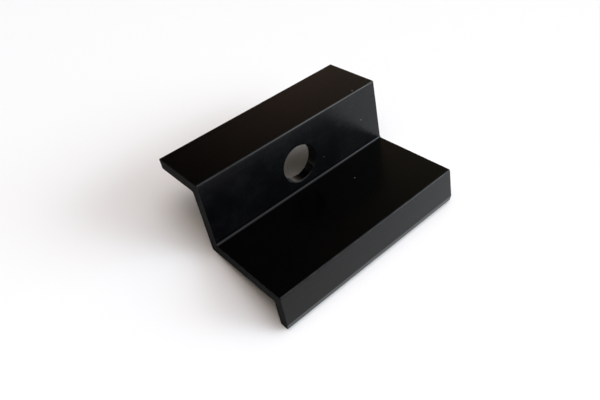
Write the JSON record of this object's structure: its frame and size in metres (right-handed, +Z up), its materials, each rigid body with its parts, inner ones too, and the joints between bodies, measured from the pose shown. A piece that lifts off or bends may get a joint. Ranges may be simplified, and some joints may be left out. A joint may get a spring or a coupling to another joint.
{
  "type": "solar end clamp",
  "caption": "Black anodised aluminium end clamp: Z-shaped extruded section with a return lip and a bolt hole through its middle wall, for the side of a framed solar module.",
  "frame": {"origin": "on the table, under the middle of the clamp's footprint, as it lies loose", "axes": "+X along the extrusion, +Y from the lip towards the leg, +Z up. It lies on the bend below the seat and on the lip's tip, so the section is turned 16.58 degrees about X from level. Fixed to a rail, the bolt's axis stands upright: that is the axis of mount bolt_hole, with the lip's end up and the foot down."},
  "size_m": [0.05, 0.043, 0.0187],
  "materials": {
    "black_anodised": "black anodised, satin, extruded and sawn"
  },
  "bodies": {
    "root": {"end_clamp": "black_anodised"}
  },
  "joints": []
}
